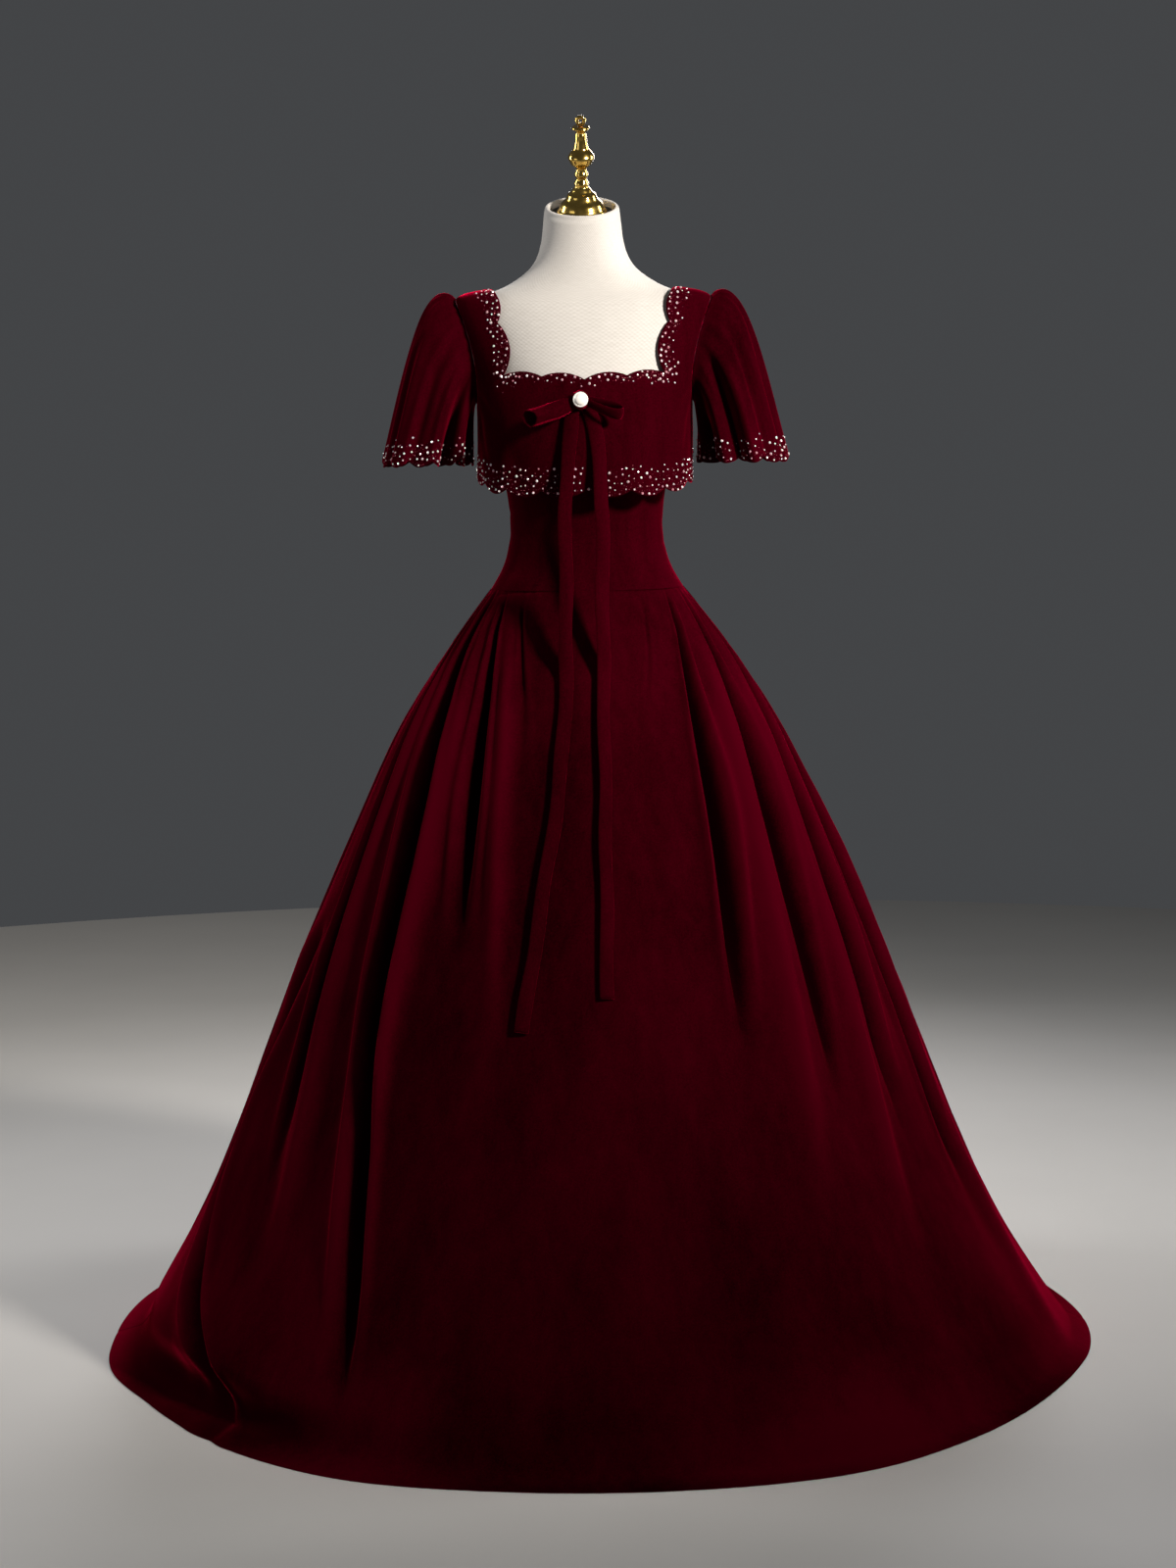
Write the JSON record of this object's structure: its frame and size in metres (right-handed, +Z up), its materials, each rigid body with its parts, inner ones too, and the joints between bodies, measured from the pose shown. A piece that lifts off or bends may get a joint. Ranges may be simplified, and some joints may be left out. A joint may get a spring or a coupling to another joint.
{
  "type": "evening gown on a dress form",
  "caption": "Ball gown of velvet on a limbless dress form: pleated full skirt, fitted waist, scalloped overlay with a square neckline, flutter sleeves and a ribbon bow.",
  "frame": {"origin": "on the floor at the centre of the stand base's bottom, under the pole", "axes": "+Z up along the pole, -Y towards the gown's front, +X towards the wearer's left"},
  "size_m": [1.4698, 1.475, 1.8058],
  "materials": {
    "velvet": "burgundy pile velvet, soft sheen",
    "linen": "ivory plain weave, matt",
    "gilt": "polished gilt",
    "plate": "black, satin",
    "pearl": "pearl, glossy",
    "stand": "black paint, satin"
  },
  "bodies": {
    "root": {"bodice_back_left": "velvet", "bodice_back_right": "velvet", "bodice_front": "velvet", "bow_knot": "velvet", "bow_loop_left": "velvet", "bow_loop_right": "velvet", "finial": "gilt", "finial_eye": "gilt", "form_torso": "linen", "neck_plate": "plate", "overlay_back_left": "velvet", "overlay_back_right": "velvet", "overlay_front": "velvet", "pearl_button": "pearl", "skirt_back_left": "velvet", "skirt_back_right": "velvet", "skirt_front": "velvet", "sleeve_left": "velvet", "sleeve_right": "velvet", "stand_base": "stand", "stand_pole": "stand", "tail_left": "velvet", "tail_right": "velvet"}
  },
  "joints": []
}
